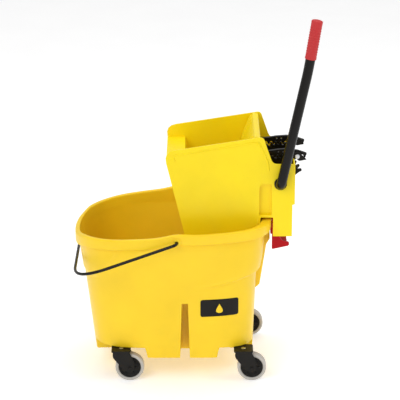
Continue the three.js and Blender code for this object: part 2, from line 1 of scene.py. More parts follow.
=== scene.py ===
# %% [markdown]
# # A mop bucket with a side-press wringer
# The object is a moulded yellow bucket on four casters, with a wringer hung on its rear rim.
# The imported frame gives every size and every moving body. This script only adds the looks: smooth
# moulded surfaces in place of the faceted solids, and a procedural finish on each piece.

# %% The frame
import json
import math

import bmesh
import bpy
import numpy as np
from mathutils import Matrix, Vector


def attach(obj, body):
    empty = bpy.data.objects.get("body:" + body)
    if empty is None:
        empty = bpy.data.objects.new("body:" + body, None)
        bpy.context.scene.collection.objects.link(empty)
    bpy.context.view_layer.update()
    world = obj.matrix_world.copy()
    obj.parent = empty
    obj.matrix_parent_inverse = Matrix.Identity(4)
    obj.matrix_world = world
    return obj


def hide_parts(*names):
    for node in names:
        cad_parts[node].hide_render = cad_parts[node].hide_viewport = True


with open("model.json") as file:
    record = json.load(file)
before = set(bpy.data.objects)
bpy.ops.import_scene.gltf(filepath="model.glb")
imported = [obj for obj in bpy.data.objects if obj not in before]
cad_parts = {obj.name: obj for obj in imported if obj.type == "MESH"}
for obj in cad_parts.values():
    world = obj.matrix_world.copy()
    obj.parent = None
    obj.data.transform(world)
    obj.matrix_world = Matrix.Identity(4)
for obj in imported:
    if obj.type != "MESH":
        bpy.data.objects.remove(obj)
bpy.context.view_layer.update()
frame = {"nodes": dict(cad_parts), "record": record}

# %% [markdown]
# ## Camera, floor and light
# A long lens a few metres away keeps the bucket's upright lines nearly parallel, as in a catalogue
# view. The camera looks down on the rim by 19 degrees. Three large soft lights and a pale world
# leave only a faint shadow under the tub.

# %% Camera
TARGET = Vector((0.011, 0.0, 0.443))
LIGHT_AIM = Vector((0, 0, 0.35))
DISTANCE = 5.0
ELEVATION = math.radians(19)
LENS_MM = 172

camera_data = bpy.data.cameras.new("camera")
camera_data.lens = LENS_MM
camera = bpy.data.objects.new("camera", camera_data)
offset = Vector((0.0, -math.cos(ELEVATION), math.sin(ELEVATION))) * DISTANCE
camera.location = TARGET + offset
camera.rotation_euler = (-offset).to_track_quat("-Z", "Y").to_euler()
bpy.context.scene.collection.objects.link(camera)
bpy.context.scene.camera = camera
print("camera at", [round(v, 3) for v in camera.location])


# %% Floor, lights and world
def area_light(name, place, size, watts):
    """A square soft light at place, aimed at the middle of the object."""
    data = bpy.data.lights.new(name, "AREA")
    data.size = size
    data.energy = watts
    light = bpy.data.objects.new(name, data)
    light.location = place
    light.rotation_euler = (LIGHT_AIM - Vector(place)).to_track_quat("-Z", "Y").to_euler()
    bpy.context.scene.collection.objects.link(light)
    return light


area_light("key_light", (-1.6, -2.6, 2.6), 1.8, 36)
area_light("rear_light", (2.4, -0.6, 2.2), 1.4, 16)
area_light("top_light", (0.0, 0.6, 3.2), 2.4, 28)

floor_mesh = bpy.data.meshes.new("floor")
floor_mesh.from_pydata([(-12, -12, 0), (12, -12, 0), (12, 12, 0), (-12, 12, 0)], [], [(0, 1, 2, 3)])
floor = bpy.data.objects.new("floor", floor_mesh)
bpy.context.scene.collection.objects.link(floor)

world = bpy.context.scene.world or bpy.data.worlds.new("world")
bpy.context.scene.world = world
world.use_nodes = True
world.node_tree.nodes["Background"].inputs["Color"].default_value = (1, 1, 1, 1)
world.node_tree.nodes["Background"].inputs["Strength"].default_value = 0.62
bpy.context.scene.view_settings.view_transform = "Standard"

# %% [markdown]
# ## Finishes
# Every finish starts from one shader and three patterns in Object coordinates: a slow blotch that
# shifts the colour, a fine grain from the mould that shows as bump, and long scuffs that change how
# shiny the surface is. Object coordinates are in metres, so a scale of 1000 gives one-millimetre grain.


# %% Node helpers
def node(tree, kind, **values):
    """A new node of that kind, with its properties or input sockets set by name."""
    made = tree.nodes.new(kind)
    for key, value in values.items():
        if key in made.inputs:
            made.inputs[key].default_value = value
        else:
            setattr(made, key, value)
    return made


def pattern(tree, scale, stretch=(1, 1, 1), detail=3.0, rough=0.55):
    """Noise in Object coordinates, stretched along the axes where stretch is small."""
    place = node(tree, "ShaderNodeTexCoord")
    mapping = node(tree, "ShaderNodeMapping", Scale=stretch)
    noise = node(tree, "ShaderNodeTexNoise", Scale=scale, Detail=detail, Roughness=rough)
    tree.links.new(place.outputs["Object"], mapping.inputs["Vector"])
    tree.links.new(mapping.outputs["Vector"], noise.inputs["Vector"])
    return noise.outputs["Fac"]


def ranged(tree, value, low, high, to_low, to_high):
    """A pattern's values between low and high, spread over to_low to to_high."""
    made = node(tree, "ShaderNodeMapRange")
    for socket, number in zip(("From Min", "From Max", "To Min", "To Max"), (low, high, to_low, to_high)):
        made.inputs[socket].default_value = number
    tree.links.new(value, made.inputs["Value"])
    return made.outputs["Result"]


def mixed(tree, factor, first, second):
    """Two colours mixed by a pattern. Either may be a colour or a socket."""
    mix = tree.nodes.new("ShaderNodeMix")
    mix.data_type = "RGBA"
    tree.links.new(factor, mix.inputs["Factor"])
    for socket, colour in ((mix.inputs[6], first), (mix.inputs[7], second)):
        if isinstance(colour, bpy.types.NodeSocket):
            tree.links.new(colour, socket)
        else:
            socket.default_value = (*colour, 1)
    return mix.outputs[2]


def shade(colour, factor):
    return tuple(min(1.0, channel * factor) for channel in colour)


# %% Moulded plastic and other finishes
def finish(name, colour, rough=0.4, blotch=0.05, grain=1200, grain_depth=0.00006, scuff=0.10,
           streak=(1, 1, 0.12), metal=0.0, shine=0.32, glow=0.0, dirt=0.0):
    """One finish.

    blotch is how far the colour drifts, grain the noise scale of the surface texture and grain_depth
    its height in metres. scuff is how much the roughness wanders along streak. shine is the strength
    of the highlight and glow the share of light that scatters inside. dirt darkens low places near
    the floor, as splashes do.
    """
    material = bpy.data.materials.new(name)
    material.use_nodes = True
    tree = material.node_tree
    shader = tree.nodes["Principled BSDF"]
    shader.inputs["Metallic"].default_value = metal
    shader.inputs["Specular IOR Level"].default_value = shine
    if glow:
        shader.inputs["Subsurface Weight"].default_value = glow
        shader.inputs["Subsurface Radius"].default_value = (0.006, 0.003, 0.0008)
        shader.inputs["Subsurface Scale"].default_value = 1.0
    slow = ranged(tree, pattern(tree, 5.0, detail=4.0), 0.35, 0.65, 0.0, 1.0)
    base = mixed(tree, slow, shade(colour, 1 - blotch), shade(colour, 1 + blotch))
    specks = ranged(tree, pattern(tree, 260.0, detail=2.0), 0.66, 0.74, 0.0, 0.35)
    base = mixed(tree, specks, base, shade(colour, 0.86))
    if dirt:
        coordinates = node(tree, "ShaderNodeTexCoord")
        split = node(tree, "ShaderNodeSeparateXYZ")
        tree.links.new(coordinates.outputs["Object"], split.inputs["Vector"])
        low_down = ranged(tree, split.outputs["Z"], 0.06, 0.20, dirt, 0.0)
        splashes = ranged(tree, pattern(tree, 28.0, detail=6.0), 0.48, 0.62, 0.0, 1.0)
        both = node(tree, "ShaderNodeMath", operation="MULTIPLY")
        tree.links.new(low_down, both.inputs[0])
        tree.links.new(splashes, both.inputs[1])
        base = mixed(tree, both.outputs[0], base, shade(colour, 0.55))
    tree.links.new(base, shader.inputs["Base Color"])
    scuffs = pattern(tree, 34.0, stretch=streak, detail=6.0, rough=0.7)
    tree.links.new(ranged(tree, scuffs, 0.35, 0.65, rough - scuff, rough + scuff),
                   shader.inputs["Roughness"])
    bump = node(tree, "ShaderNodeBump", Strength=1.0, Distance=grain_depth)
    tree.links.new(pattern(tree, grain, detail=2.0), bump.inputs["Height"])
    ripple = node(tree, "ShaderNodeBump", Strength=1.0, Distance=0.0006)
    tree.links.new(pattern(tree, 9.0, detail=1.0), ripple.inputs["Height"])
    tree.links.new(ripple.outputs["Normal"], bump.inputs["Normal"])
    tree.links.new(bump.outputs["Normal"], shader.inputs["Normal"])
    return material


FINISHES = {
    "bucket_plastic": finish("bucket_yellow", (0.910, 0.615, 0.014), rough=0.38, glow=0.08, dirt=0.07),
    "wringer_plastic": finish("wringer_yellow", (0.940, 0.720, 0.004), rough=0.38, glow=0.08),
    "latch_red": finish("latch_red", (0.50, 0.002, 0.008), rough=0.36, shine=0.16),
    "grip_red": finish("grip_red", (0.52, 0.028, 0.030), rough=0.55, grain=700, grain_depth=0.00012),
    "black_paint": finish("black_paint", (0.006, 0.005, 0.004), rough=0.20, scuff=0.06, shine=0.20,
                          blotch=0.2, grain=420, grain_depth=0.00005, streak=(1, 1, 0.05)),
    "black_plastic": finish("black_plastic", (0.008, 0.007, 0.006), rough=0.42, shine=0.18, blotch=0.15),
    "gear_plastic": finish("gear_black", (0.006, 0.005, 0.004), rough=0.36, shine=0.18, blotch=0.2),
    "caster_black": finish("caster_black", (0.008, 0.007, 0.006), rough=0.42, shine=0.20, blotch=0.2),
    "tread_grey": finish("tread_grey", (0.48, 0.455, 0.42), rough=0.6, blotch=0.08, grain=800,
                         grain_depth=0.00015),
    "bright_steel": finish("zinc_plate", (0.62, 0.63, 0.66), rough=0.32, metal=1.0, blotch=0.06,
                           grain=900, grain_depth=0.00004, streak=(1, 0.05, 1)),
    "floor": finish("studio_floor", (0.97, 0.97, 0.97), rough=0.75, blotch=0.01, grain_depth=0.00001),
}
floor_shader = FINISHES["floor"].node_tree.nodes["Principled BSDF"]
floor_shader.inputs["Emission Color"].default_value = (1, 1, 1, 1)
floor_shader.inputs["Emission Strength"].default_value = 0.28
floor.data.materials.append(FINISHES["floor"])
print("finishes:", len(FINISHES))

# %% [markdown]
# ## Mesh helpers
# A moulded or turned surface is a grid of points worked out with numpy, so its smoothness is only
# a question of how many rows it has. One helper turns a grid into a mesh, welds its seam and poles,
# and makes its faces point outwards.


# %% From a grid of points to a piece
WELD = 0.00004


def new_piece(name, vertices, faces, material, body, nodes=(), sharp=35.0):
    """A welded, outward-facing, smooth-shaded piece in the row frame, riding on a body."""
    mesh = bpy.data.meshes.new(name)
    mesh.from_pydata(np.asarray(vertices).reshape(-1, 3).tolist(), [], np.asarray(faces).tolist())
    edit = bmesh.new()
    edit.from_mesh(mesh)
    bmesh.ops.remove_doubles(edit, verts=edit.verts, dist=WELD)
    bmesh.ops.dissolve_degenerate(edit, dist=WELD, edges=edit.edges)
    bmesh.ops.recalc_face_normals(edit, faces=edit.faces)
    edit.to_mesh(mesh)
    edit.free()
    mesh.shade_smooth()
    mesh.set_sharp_from_angle(angle=math.radians(sharp))
    return place_piece(name, mesh, material, body, nodes)


def place_piece(name, mesh, material, body, nodes=()):
    """Links a finished mesh into the scene with its finish, its body and the nodes it stands for."""
    piece = bpy.data.objects.new(name, mesh)
    bpy.context.scene.collection.objects.link(piece)
    mesh.materials.clear()
    mesh.materials.append(FINISHES[material])
    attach(piece, body)
    if nodes:
        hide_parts(*nodes)
    return piece


def grid_faces(rows, columns, wrap_rows=False):
    """Quads over a grid whose rows are closed rings, with the last row joined to the first if asked."""
    r = np.arange(rows if wrap_rows else rows - 1)
    r, c = np.meshgrid(r, np.arange(columns), indexing="ij")
    r1 = (r + 1) % rows
    c1 = (c + 1) % columns
    quads = np.stack([r * columns + c, r * columns + c1, r1 * columns + c1, r1 * columns + c], axis=-1)
    return quads.reshape(-1, 4)


def turned(profile, centre, sides, ribs):
    """A profile of (radius, y) turned round an axis along Y through centre.

    x = radius cos a, z = radius sin a. ribs(radius, angle, y) may add to y.
    """
    profile = np.asarray(profile, float)
    angle = np.linspace(0, 2 * np.pi, sides, endpoint=False)
    radius = profile[:, :1] * np.ones(sides)
    y = profile[:, 1:] * np.ones(sides)
    if ribs is not None:
        y = y + ribs(radius, angle[None, :] * np.ones_like(radius), y)
    points = np.stack([radius * np.cos(angle), y, radius * np.sin(angle)], axis=-1)
    return points + np.asarray(centre)


def rounded(corners, radius, steps):
    """A closed outline of (a, b) corners, each replaced by an arc-like curve of that radius.

    Each corner p becomes points of the quadratic curve from p + radius before to p + radius after.
    """
    corners = np.asarray(corners, float)
    before = np.roll(corners, 1, axis=0) - corners
    after = np.roll(corners, -1, axis=0) - corners
    length_before = np.linalg.norm(before, axis=1)
    length_after = np.linalg.norm(after, axis=1)
    reach = np.minimum(radius, 0.48 * np.minimum(length_before, length_after))
    start = corners + before / length_before[:, None] * reach[:, None]
    end = corners + after / length_after[:, None] * reach[:, None]
    t = np.linspace(0, 1, steps + 1)[None, :, None]
    curve = (1 - t) ** 2 * start[:, None] + 2 * t * (1 - t) * corners[:, None] + t**2 * end[:, None]
    return curve.reshape(-1, 2)


def swept(path, section, up=(0, 0, 1)):
    """A closed section carried along an open path of points.

    At each point the section's first axis is across the path and its second nearest to up.
    """
    path = np.asarray(path, float)
    along = np.gradient(path, axis=0)
    along /= np.linalg.norm(along, axis=1, keepdims=True)
    across = np.cross(along, np.asarray(up, float))
    across /= np.linalg.norm(across, axis=1, keepdims=True)
    over = np.cross(across, along)
    section = np.asarray(section, float)
    return path[:, None] + section[None, :, :1] * across[:, None] + section[None, :, 1:] * over[:, None]


def circle(radius, sides):
    """Points round a circle, for a swept section."""
    angle = np.linspace(0, 2 * np.pi, sides, endpoint=False)
    return radius * np.stack([np.cos(angle), np.sin(angle)], axis=1)


def capped(rows):
    """The rows of a swept bar with a shallow dome on each end, closed to a point."""
    def end(ring, beyond):
        middle = ring.mean(axis=0)
        push = middle - beyond.mean(axis=0)
        push /= np.linalg.norm(push)
        radius = np.linalg.norm(ring - middle, axis=1).max()
        angle = np.radians([25, 50, 75, 90])[:, None, None]
        return middle + (ring - middle)[None] * np.cos(angle) + push * radius * 0.35 * np.sin(angle)
    first = end(rows[0], rows[1])[::-1]
    last = end(rows[-1], rows[-2])
    return np.concatenate([first, rows, last])


def closed(rows):
    """The rows of a bar, each end closed flat to the middle of its last ring."""
    first, last = (np.broadcast_to(rows[i].mean(axis=0), rows[i].shape)[None] for i in (0, -1))
    return np.concatenate([first, rows, last])


def bar(name, path, section, material, body, nodes=(), up=(0, 0, 1)):
    """A bar of that section along a path, with rounded ends."""
    rows = capped(swept(path, section, up))
    return new_piece(name, rows, grid_faces(*rows.shape[:2]), material, body, nodes)


def turned_piece(name, profile, centre, material, body, nodes, sides, ribs=None, sharp=35.0):
    """A turned piece whose profile closes on itself."""
    rows = turned(profile, centre, sides, ribs)
    return new_piece(name, rows, grid_faces(*rows.shape[:2], wrap_rows=True), material, body, nodes, sharp)


# %% [markdown]
# ## Softened castings
# The housing, press plate, gears, brackets and forks already have their true outline in the frame. A
# real moulding has no knife edges, so a copy of each solid is welded, its flat faces are merged, and
# every hard edge gets a narrow rounded bevel that catches the light.


# %% Rounding the edges of a copy
COPY_WELD = 0.00002
FLAT_WITHIN, BEVEL_OVER, SHARP_OVER = math.radians(1), math.radians(28), math.radians(30)


def softened(source, material, width, segments=3):
    """A copy of a CAD node with bevels of that width, which stands for it and rides on its body."""
    body = next(b for b, members in frame["record"]["behaviour"]["bodies"].items() if source in members)
    mesh = frame["nodes"][source].data.copy()
    edit = bmesh.new()
    edit.from_mesh(mesh)
    bmesh.ops.remove_doubles(edit, verts=edit.verts, dist=COPY_WELD)
    bmesh.ops.dissolve_limit(edit, angle_limit=FLAT_WITHIN, verts=edit.verts, edges=edit.edges)
    edit.to_mesh(mesh)
    edit.free()
    piece = place_piece(f"{source}_soft", mesh, material, body, [source])
    bevel = piece.modifiers.new("edge", "BEVEL")
    bevel.width = width
    bevel.segments = segments
    bevel.limit_method = "ANGLE"
    bevel.angle_limit = BEVEL_OVER
    bevel.use_clamp_overlap = True
    bevel.harden_normals = False
    mesh.shade_smooth()
    mesh.set_sharp_from_angle(angle=SHARP_OVER)
    return piece

# %% [markdown]
# ## The tub
# The bucket is one moulding, so it is one surface here. Seen from above its outline is two half
# superellipses, |x/a|^p + |y/b|^p = 1. The rear is square (p = 5). The front has p = 4 at the foot and
# is rounder, p = 2.5, at the rim.
# A profile runs from the middle of the underside, out and up the wall, over the rolled rim, down the
# inside and back to the middle of the floor. Carrying the profile round the outline gives the whole
# closed skin. Slots, ledge, wheel wells and the wave on the front only shift that grid.

# %% The tub's outline and heights, in metres
MIDDLE_X = -0.069
RIM_FRONT_Z, RIM_CLIMB = 0.380, 0.050
RIM_REACH = (0.244, 0.265, 0.200)
RIM_LENGTH = 0.509
REAR_POWER = 5.0
BOTTOM_Z, WELL_Z, WALL = 0.058, 0.088, 0.004
SLOT_X, SLOT_TOP = -0.028, 0.217
BAIL_X, BAIL_Z = -0.048, 0.397
STEM_X = (-0.194, 0.124)
CASTER_Y, WELL_REACH = 0.150, 0.066
FOOT_ROUND, ROLL_DEPTH, INNER_LIFT = 0.003, 0.0295, 0.0035
FLOOR_ROWS = 34


def smooth(value, low, high):
    """0 below low, 1 above high, and a smooth S between."""
    t = np.clip((value - low) / (high - low), 0, 1)
    return t * t * (3 - 2 * t)


def rim_z(x):
    """Height of the rim: a climb to the rear as (distance)^0.7, a hump at the bail, a dip at the spout."""
    along = np.clip((x - MIDDLE_X + RIM_REACH[0]) / RIM_LENGTH, 0, 1)
    hump = 0.006 * np.exp(-(((x - BAIL_X) / 0.035) ** 2))
    dip = 0.007 * smooth(-x, 0.28, 0.31)
    return RIM_FRONT_Z + RIM_CLIMB * along**0.7 + hump - dip


def body_size(z):
    """Front reach, rear reach and half width of the wall at height z."""
    return (
        np.interp(z, (0.058, 0.258, 0.360), (0.195, 0.221, 0.236)),
        np.interp(z, (0.058, 0.290, 0.402), (0.219, 0.227, 0.249)),
        np.interp(z, (0.058, 0.258, 0.372), (0.152, 0.175, 0.193)),
    )


def ledge(x, z):
    """How far the wall steps out above the shoulder ledge, as a share of its distance out."""
    ledge_z = 0.258 + 0.033 * smooth(x, 0.0, 0.16)
    step = smooth(z, ledge_z, ledge_z + 0.007) * (1 - smooth(z, ledge_z + 0.02, rim_z(x) - 0.02))
    return 0.040 * smooth(x, -0.02, 0.09) * step


def front_wave(x, z):
    """A shallow step in the wall that sweeps up from the front to the rim, in metres."""
    crease = 0.277 + 0.105 * smooth(x, -0.262, -0.170)
    return 0.0028 * smooth(z, crease, crease + 0.007) * (1 - smooth(x, -0.22, -0.14))


# %% One side of the outline
def side_outline(z, power, inset=0.0, rim=0.0, inside=False):
    """Points of one side, from the front to the rear, at heights z(x): arrays (x, y) with y > 0.

    A dense superellipse, x = c + a cos^(2/p) and y = b sin^(2/p), whose front has p = power, is
    returned for side_row to pick points from. The reach depends on the height and the height on x, so
    x is worked out three times. rim, 0 to 1, moves from the wall out to the rim, and inside leaves
    out the wave on the front.
    """
    angle = np.linspace(np.pi, 0, 1601)
    c, s = np.cos(angle), np.sin(angle)
    p = np.where(c > 0, REAR_POWER, power)
    unit_x, unit_y = np.sign(c) * np.abs(c) ** (2 / p), s ** (2 / p)
    x = MIDDLE_X + unit_x * 0.23
    for _ in range(3):
        height = z(x)
        front, rear, half = body_size(height)
        front, rear, half = (a + rim * (b - a) - inset for a, b in
                             zip((front, rear, half), RIM_REACH))
        out = 1 + ledge(x, height)
        x = MIDDLE_X + unit_x * np.where(c > 0, rear, front) * out
    y = unit_y * half * out
    if not inside:
        wave = front_wave(x, height)
        x = x - wave * np.clip(-c, 0, 1)
        y = y + wave * s
    return x, np.maximum(y, 0.0)


def slot_size(z, grow):
    """Half width of the baffle slot and the place of its back wall at height z."""
    t = (SLOT_TOP - z) / (SLOT_TOP - 0.048)
    return 0.008 + 0.005 * t + grow, 0.135 - 0.050 * t - grow


SIDE_POINTS, SLOT_POINTS, BACK_POINTS = 96, 10, 8


def side_row(z, power, inset=0.0, rim=0.0, inside=False):
    """One side of the outline at even steps, with extra points where the slot turns in: rows of (x, y, z)."""
    x, y = side_outline(z, power, inset, rim, inside)
    length = np.concatenate([[0], np.cumsum(np.hypot(np.diff(x), np.diff(y)))])
    grow = WALL if inside else 0.0
    here = float(np.mean(z(np.array([SLOT_X]))))
    half, back = slot_size(min(here, SLOT_TOP), grow)
    deep = here < SLOT_TOP + grow
    edges = np.interp([SLOT_X - half, SLOT_X + half], x, length)
    before = np.linspace(0, edges[0], SIDE_POINTS)
    after = np.linspace(edges[1], length[-1], SIDE_POINTS)
    mouth_y = np.interp(edges, length, y)
    back_y = np.where(deep, np.minimum(back, mouth_y), mouth_y)
    t = np.linspace(0, 1, SLOT_POINTS + 2)[1:-1]
    run_in = (SLOT_X - half + 0.0012 * t, mouth_y[0] + (back_y[0] - mouth_y[0]) * t)
    across = np.linspace(SLOT_X - half + 0.0014, SLOT_X + half - 0.0014, BACK_POINTS)
    run_back = (across, np.interp(across, x, y) * (not deep) + back_y.min() * deep)
    run_out = (SLOT_X + half - 0.0012 * (1 - t), back_y[1] + (mouth_y[1] - back_y[1]) * t)
    rows_x = [np.interp(before, length, x), run_in[0], run_back[0], run_out[0], np.interp(after, length, x)]
    rows_y = [np.interp(before, length, y), run_in[1], run_back[1], run_out[1], np.interp(after, length, y)]
    x, y = np.concatenate(rows_x), np.concatenate(rows_y)
    return np.stack([x, y, z(x)], axis=1)


# %% Underside, wheel wells and the profile's rows
def well_share(x, y, grow=0.0):
    """1 inside a wheel well's plan and 0 outside, with a smooth ramp 8 mm wide between."""
    share = np.zeros(np.broadcast(x, y).shape)
    for stem, out in ((STEM_X[0], -1), (STEM_X[1], 1)):
        along = smooth((x - stem) * out + WELL_REACH + grow, -0.004, 0.004)
        across = smooth(np.abs(y) - CASTER_Y + WELL_REACH + grow, -0.004, 0.004)
        share = np.maximum(share, along * across)
    return share


def underside(x, y):
    """Height of the tub's underside, raised inside the wheel wells."""
    return BOTTOM_Z + (WELL_Z - BOTTOM_Z) * well_share(x, y)


def floor_top(x, y):
    """Height of the floor inside the tub, one wall above the underside."""
    return BOTTOM_Z + WALL + (WELL_Z - BOTTOM_Z) * well_share(x, y, WALL)


def both_sides(row):
    """A closed ring: the near side from front to rear, then the far side back to the front."""
    near = row * np.array([1, -1, 1])
    return np.concatenate([near, row[::-1]])


def front_power(t):
    """The front's p at a share t of the way up the wall."""
    return np.interp(t, (0, 0.6, 1), (4.0, 3.0, 2.5))


def tub_rows():
    """All rings of the tub's skin, from the middle of the underside to the middle of the floor."""
    rings = []
    foot = side_row(lambda x: np.full_like(x, BOTTOM_Z), front_power(0))
    for share in np.linspace(0.0, 0.97, FLOOR_ROWS):
        ring = foot * np.array([1, share, 1])
        ring[:, 0] = MIDDLE_X + (foot[:, 0] - MIDDLE_X) * (1 - 0.03 * (1 - share))
        ring[:, 2] = underside(ring[:, 0], ring[:, 1])
        rings.append(ring)

    def wall_height(t, x):
        """Heights up the wall: level near the foot, and parallel to the rim near the rim."""
        low = BOTTOM_Z + FOOT_ROUND + (SLOT_TOP - BOTTOM_Z) * np.minimum(t / 0.5, 1)
        high = (rim_z(x) - ROLL_DEPTH - SLOT_TOP - FOOT_ROUND) * np.maximum((t - 0.5) / 0.5, 0)
        return low + high

    steps = np.concatenate([np.linspace(0, 0.4975, 34), [0.4990, 0.5010], np.linspace(0.505, 1, 46)])
    for t in steps:
        ring = side_row(lambda x, t=t: wall_height(t, x), front_power(t))
        ring[:, 2] = np.maximum(ring[:, 2], underside(ring[:, 0], ring[:, 1]) + 0.002 * min(t * 20, 1))
        rings.append(ring)
    roll = [(0.0, 0.0290), (0.15, 0.0286), (0.70, 0.0280), (0.90, 0.0268), (0.95, 0.0250), (0.97, 0.0140),
            (1.0, 0.0050), (0.99, 0.0026), (0.90, 0.0010), (0.72, 0.0002), (0.45, 0.0), (0.15, 0.0),
            (-0.20, 0.0004), (-0.42, 0.0016), (-0.52, 0.0034), (-0.56, 0.0065)]
    for rim, below in roll:
        rings.append(side_row(lambda x, b=below: rim_z(x) - b, front_power(1), rim=rim))
    for t in steps[::-1]:
        ring = side_row(lambda x, t=t: wall_height(t, x) + INNER_LIFT, front_power(t), inset=WALL,
                        inside=True)
        ring[:, 2] = np.maximum(ring[:, 2], floor_top(ring[:, 0], ring[:, 1]) + 0.0005)
        rings.append(ring)
    lowest = rings[-1]
    for share in np.linspace(0.98, 0.0, FLOOR_ROWS):
        ring = lowest * np.array([1, share, 1])
        ring[:, 2] = floor_top(ring[:, 0], ring[:, 1])
        rings.append(ring)
    return np.array([both_sides(ring) for ring in rings])


rows = tub_rows()
tub = new_piece("tub_shell", rows, grid_faces(*rows.shape[:2]), "bucket_plastic", "bucket",
                ["bucket_tub"], sharp=38)
print("tub faces:", len(tub.data.polygons))

# %% [markdown]
# ## Ribs and a plain label on the tub
# The rear wall carries one upright rib that the wringer's latch closes on. It is a tapering bar that
# follows the wall from the ledge up to the rim. The label panel is a thin sheet that follows the
# wall, so it is sampled from the same outline as the tub. It is a generic panel with a water drop.


# %% The rear rib
RIB_R = 0.006


def rear_rib():
    """Rows up the rib: a rounded outline across Y at each height, starting inside the wall's skin."""
    z = np.linspace(0.2065, 0.4075, 40)
    reach = np.interp(z, (0.2065, 0.216, 0.330, 0.345, 0.4075),
                      (0.158, 0.1685, 0.1850, 0.1935, 0.1925))
    wall = MIDDLE_X + body_size(z)[1] * (1 + ledge(0.160, z)) - 0.0025
    half = np.interp(z, (0.206, 0.345, 0.408), (0.026, 0.032, 0.032))
    turn = np.linspace(0, np.pi / 2, 9)
    far_x = reach[:, None] - RIB_R * (1 - np.sin(turn))
    far_y = half[:, None] - RIB_R * (1 - np.cos(turn))
    x = np.column_stack([wall, far_x, far_x[:, ::-1], wall])
    y = np.column_stack([half, far_y, -far_y[:, ::-1], -half])
    rows = np.stack([x, y, z[:, None] + 0 * x], axis=-1)
    return closed(rows)


rib = rear_rib()
new_piece("tub_rear_rib", rib, grid_faces(*rib.shape[:2]), "bucket_plastic", "bucket", sharp=40)


# %% A sheet that follows the near wall
PANEL_THICK, OUTLINE_POINTS = 0.0006, 160


def wall_y(x, z):
    """The near wall's y behind the middle: y = -b (1 - ((x - c) / a)^5)^(1/5), with the ledge's step."""
    _, rear, half = body_size(z)
    out = 1 + ledge(x, z)
    return -half * out * (1 - ((x - MIDDLE_X) / (rear * out)) ** 5) ** (1 / 5)


def evenly(outline):
    """The same closed outline, picked off at even steps along its length."""
    loop = np.concatenate([np.asarray(outline, float), [outline[0]]])
    length = np.concatenate([[0], np.cumsum(np.hypot(*np.diff(loop, axis=0).T))])
    at = np.linspace(0, length[-1], OUTLINE_POINTS, endpoint=False)
    return np.stack([np.interp(at, length, loop[:, 0]), np.interp(at, length, loop[:, 1])], axis=1)


def wall_panel(name, outline, lift, material):
    """A closed outline of (x, z) laid on the near wall, as a dome of rings shrinking to its middle."""
    outline = evenly(outline)
    middle = (outline.min(axis=0) + outline.max(axis=0)) / 2
    shares = np.concatenate([[1.0, 1.0], np.linspace(0.985, 0.0, 12)])
    lifts = np.concatenate([[lift - 0.0015, lift + PANEL_THICK * 0.6], np.full(12, lift + PANEL_THICK)])
    rings = middle + (outline - middle)[None] * shares[:, None, None]
    x, z = rings[..., 0], rings[..., 1]
    y = wall_y(x, z) - lifts[:, None]
    back = np.stack([x[:1], y[:1] + 0.0005, z[:1]], axis=-1)
    back = np.broadcast_to(back.mean(axis=1, keepdims=True), back.shape)
    rows = np.concatenate([back, np.stack([x, y, z], axis=-1)])
    return new_piece(name, rows, grid_faces(*rows.shape[:2]), material, "bucket", sharp=50)


LABEL_X, LABEL_Z, LABEL_WIDE, LABEL_TALL = 0.061, 0.2075, 0.098, 0.049


def label_corners():
    """The panel's corners: a rectangle whose rear end stands 4 mm higher than its front end."""
    w, h, lean = LABEL_WIDE / 2, LABEL_TALL / 2, 0.002
    return [(LABEL_X + x, LABEL_Z + z + lean * x / w) for x, z in ((-w, -h), (w, -h), (w, h), (-w, h))]


def drop_outline(x, z, size):
    """A water drop: x = 0.62 size sin a (1 - cos a) / 1.3 and z = size cos a, over a full turn."""
    a = np.linspace(0, 2 * np.pi, 40, endpoint=False)
    return np.stack([x + size * 0.62 * np.sin(a) * (1 - np.cos(a)) / 1.3, z + size * np.cos(a)], axis=1)


wall_panel("label_panel", rounded(label_corners(), 0.007, 6), 0.0002, "black_plastic")
wall_panel("label_drop", drop_outline(LABEL_X, LABEL_Z - 0.001, 0.014), 0.0008, "bucket_plastic")
print("label panel at", LABEL_X, LABEL_Z)

# %% [markdown]
# ## Bail
# The carrying wire is one bar on a smooth path: out through the bush, round a small eye, forward
# along the side, and round a wide corner to the front. The path is worked out as arcs and straight
# runs in the bail's own plane, which droops 20 degrees when it lies on the tub.

# %% The wire's path
BAIL_REACH, BAIL_SPAN, BAIL_CORNER, BAIL_EYE = 0.280, 0.215, 0.095, 0.012
BAIL_DROOP = math.radians(20)
BUSH_Y = 0.189


def bend(corner, before, after, radius, steps=14):
    """Points on the curve that rounds a corner, from radius before it to radius after it."""
    corner, before, after = (np.asarray(p, float) for p in (corner, before, after))
    start = corner + (before - corner) / np.linalg.norm(before - corner) * radius
    end = corner + (after - corner) / np.linalg.norm(after - corner) * radius
    t = np.linspace(0, 1, steps)[:, None]
    return (1 - t) ** 2 * start + 2 * t * (1 - t) * corner + t**2 * end


def bail_path():
    """(u, y) points from one bush to the other, u running forward in the bail's plane."""
    inner, eye, front = (0.0, -BUSH_Y), (0.0, -BAIL_SPAN), (BAIL_REACH, -BAIL_SPAN)
    middle = (BAIL_REACH, 0.0)
    first = bend(eye, inner, front, BAIL_EYE)
    corner = bend(front, eye, middle, BAIL_CORNER, 30)
    half = np.concatenate([[inner], first, np.linspace(first[-1], corner[0], 12)[1:-1], corner])
    across = np.linspace(corner[-1], corner[-1] * np.array([1, -1]), 24)[1:-1]
    return np.concatenate([half, across, half[::-1] * np.array([1, -1])])


flat_path = bail_path()
wire_path = np.stack([
    BAIL_X - flat_path[:, 0] * math.cos(BAIL_DROOP),
    flat_path[:, 1],
    BAIL_Z - flat_path[:, 0] * math.sin(BAIL_DROOP),
], axis=1)
bar("bail_bar", wire_path, circle(0.0040, 16), "black_paint", "bail", ["bail_wire"],
    up=(math.sin(BAIL_DROOP), 0, math.cos(BAIL_DROOP)))
for bush in ("bail_bush_left", "bail_bush_right"):
    softened(bush, "bucket_plastic", width=0.0006)

